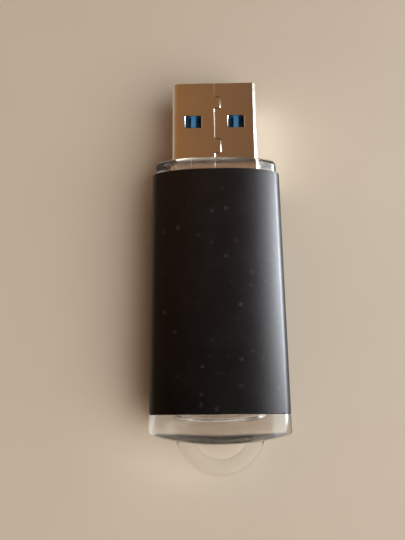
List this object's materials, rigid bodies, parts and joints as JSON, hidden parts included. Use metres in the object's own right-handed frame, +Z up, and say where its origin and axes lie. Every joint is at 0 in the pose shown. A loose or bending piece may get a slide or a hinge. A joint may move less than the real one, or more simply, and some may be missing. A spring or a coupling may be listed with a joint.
{
  "type": "usb flash drive",
  "caption": "Slim USB flash drive: a crowned dark metal sleeve over a clear carrier, a type-A plug with blue inserts and a clear lanyard loop.",
  "frame": {"origin": "middle of the drive's length and width, on the plane its sleeve rests on", "axes": "+Y points out of the plug, +Z up through the sleeve's thickness with the plug's seam side up, +X to the right"},
  "size_m": [0.0174, 0.053, 0.008],
  "materials": {
    "black_anodised_aluminium": "fine bead-blasted, black anodised, satin",
    "clear_plastic": "clear moulded polycarbonate, polished",
    "nickel_plated_steel": "nickel plated, rolled sheet, semi-bright",
    "blue_plastic": "moulded blue thermoplastic, semi-matt",
    "gold_plated_contact": "gold plated",
    "green_solder_mask": "green solder mask over glass-fibre laminate, glossy",
    "moulded_epoxy": "black moulded epoxy, matt",
    "tinned_metal": "tin plated",
    "crystal_can": "nickel can with a ceramic base",
    "dark_ferrite": "sintered ferrite, matt",
    "led_lens": "milky resin lens",
    "capacitor_ceramic": "tan ceramic with tinned ends",
    "resistor_coat": "black glazed film on white ceramic with tinned ends"
  },
  "bodies": {
    "drive": {"metal_sleeve": "black_anodised_aluminium", "carrier_base": "clear_plastic", "carrier_cover": "clear_plastic", "plug_shell": "nickel_plated_steel", "plug_tongue": "blue_plastic", "spring_contact_block": "blue_plastic", "vbus_contact": "gold_plated_contact", "data_minus_contact": "gold_plated_contact", "data_plus_contact": "gold_plated_contact", "ground_contact": "gold_plated_contact", "spring_contact_tails": "gold_plated_contact", "circuit_board": "green_solder_mask", "memory_chip": "moulded_epoxy", "memory_chip_leads": "tinned_metal", "controller_chip": "moulded_epoxy", "controller_chip_leads": "tinned_metal", "crystal": "crystal_can", "power_inductor": "dark_ferrite", "voltage_regulator": "moulded_epoxy", "regulator_leads": "tinned_metal", "activity_led": "led_lens", "capacitors": "capacitor_ceramic", "resistors": "resistor_coat", "ferrite_beads": "dark_ferrite"},
    "spring_contact_1": {"spring_contact_1": "gold_plated_contact"},
    "spring_contact_2": {"spring_contact_2": "gold_plated_contact"},
    "spring_contact_3": {"spring_contact_3": "gold_plated_contact"},
    "spring_contact_4": {"spring_contact_4": "gold_plated_contact"},
    "spring_contact_5": {"spring_contact_5": "gold_plated_contact"}
  },
  "joints": [
    {"name": "spring_contact_1_flex", "type": "hinge", "parent": "drive", "child": "spring_contact_1", "pos_m": [-0.004, 0.01796, 0.0039], "axis": [1, 0, 0], "range_deg": [0, 12], "stiffness_Nm_per_rad": 0.0045},
    {"name": "spring_contact_2_flex", "type": "hinge", "parent": "drive", "child": "spring_contact_2", "pos_m": [-0.002, 0.01796, 0.0039], "axis": [1, 0, 0], "range_deg": [0, 12], "stiffness_Nm_per_rad": 0.0045},
    {"name": "spring_contact_3_flex", "type": "hinge", "parent": "drive", "child": "spring_contact_3", "pos_m": [0, 0.01796, 0.0039], "axis": [1, 0, 0], "range_deg": [0, 12], "stiffness_Nm_per_rad": 0.0045},
    {"name": "spring_contact_4_flex", "type": "hinge", "parent": "drive", "child": "spring_contact_4", "pos_m": [0.002, 0.01796, 0.0039], "axis": [1, 0, 0], "range_deg": [0, 12], "stiffness_Nm_per_rad": 0.0045},
    {"name": "spring_contact_5_flex", "type": "hinge", "parent": "drive", "child": "spring_contact_5", "pos_m": [0.004, 0.01796, 0.0039], "axis": [1, 0, 0], "range_deg": [0, 12], "stiffness_Nm_per_rad": 0.0045}
  ]
}
